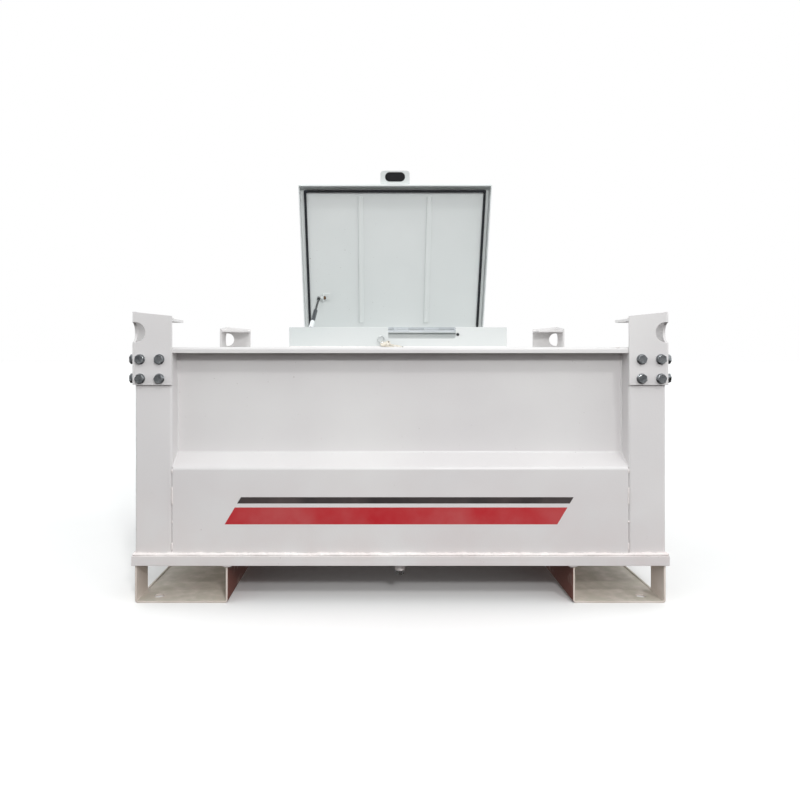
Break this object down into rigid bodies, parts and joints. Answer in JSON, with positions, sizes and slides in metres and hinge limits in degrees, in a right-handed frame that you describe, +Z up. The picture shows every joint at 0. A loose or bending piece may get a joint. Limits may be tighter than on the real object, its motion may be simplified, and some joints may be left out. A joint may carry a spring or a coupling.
{
  "type": "bunded fuel tank",
  "caption": "Double-walled rectangular diesel tank on fork-pocket feet, with bolted lifting corners and a hinged equipment lid held open by a gas strut.",
  "frame": {"origin": "on the ground under the middle of the tank", "axes": "+Z up, -Y out of the front, +X to the right as seen from the front"},
  "size_m": [1.516, 1.166, 1.3742],
  "materials": {
    "white_enamel": "semi-gloss white enamel on steel sheet",
    "lid_enamel": "semi-gloss white enamel on the lid",
    "foot_enamel": "worn and dusty enamel on the feet",
    "inner_enamel": "pale grey enamel on the inner tank",
    "sponge_rubber": "matte black sponge seal",
    "black_plastic": "moulded black",
    "zinc_steel": "bright zinc plate",
    "strut_enamel": "gloss black"
  },
  "bodies": {
    "tank": {"base_plate": "white_enamel", "base_rail_front": "white_enamel", "base_rail_back": "white_enamel", "base_rail_left": "white_enamel", "base_rail_right": "white_enamel", "corner_post_front_left": "white_enamel", "corner_post_front_right": "white_enamel", "corner_post_back_left": "white_enamel", "corner_post_back_right": "white_enamel", "wall_front": "white_enamel", "wall_back": "white_enamel", "wall_left": "white_enamel", "wall_right": "white_enamel", "lifting_bracket_front_left": "white_enamel", "lifting_bracket_front_right": "white_enamel", "lifting_bracket_back_left": "white_enamel", "lifting_bracket_back_right": "white_enamel", "cabinet_front": "white_enamel", "cabinet_back": "white_enamel", "cabinet_left": "white_enamel", "cabinet_right": "white_enamel", "cabinet_ledge": "white_enamel", "top_plate": "white_enamel", "foot_left": "foot_enamel", "foot_right": "foot_enamel", "drain_plug": "foot_enamel", "inner_tank_shell": "inner_enamel", "inner_tank_top": "inner_enamel", "bearer_front": "inner_enamel", "bearer_back": "inner_enamel", "filler_neck": "inner_enamel", "filler_cap": "black_plastic", "breather": "black_plastic", "hinge_leaf_cabinet": "zinc_steel", "strut_mount_cabinet": "zinc_steel"},
    "lid": {"lid_panel": "lid_enamel", "lid_rib_left": "lid_enamel", "lid_rib_right": "lid_enamel", "lid_seal": "sponge_rubber", "lid_handle": "lid_enamel", "lid_grip": "black_plastic", "hinge_leaf_lid": "zinc_steel", "strut_mount_lid": "zinc_steel"},
    "strut_tube": {"strut_tube": "strut_enamel"},
    "strut_rod": {"strut_rod": "zinc_steel"}
  },
  "joints": [
    {"name": "lid_hinge", "type": "hinge", "parent": "tank", "child": "lid", "pos_m": [0, 0.193, 0.79], "axis": [1, 0, 0], "range_deg": [0, 69]},
    {"name": "strut_foot_pivot", "type": "hinge", "parent": "tank", "child": "strut_tube", "pos_m": [-0.296, -0.229, 0.757], "axis": [-1, 0, 0], "range_deg": [0, 18.53]},
    {"name": "strut_slide", "type": "slide", "parent": "strut_tube", "child": "strut_rod", "axis": [-0.0087, -0.9135, -0.4068], "range_m": [0, 0.1186]}
  ],
  "couplings": [
    {"joint": "strut_foot_pivot", "follows": "lid_hinge", "ratio": 0.26822},
    {"joint": "strut_slide", "follows": "lid_hinge", "m_per_rad": 0.09836}
  ]
}
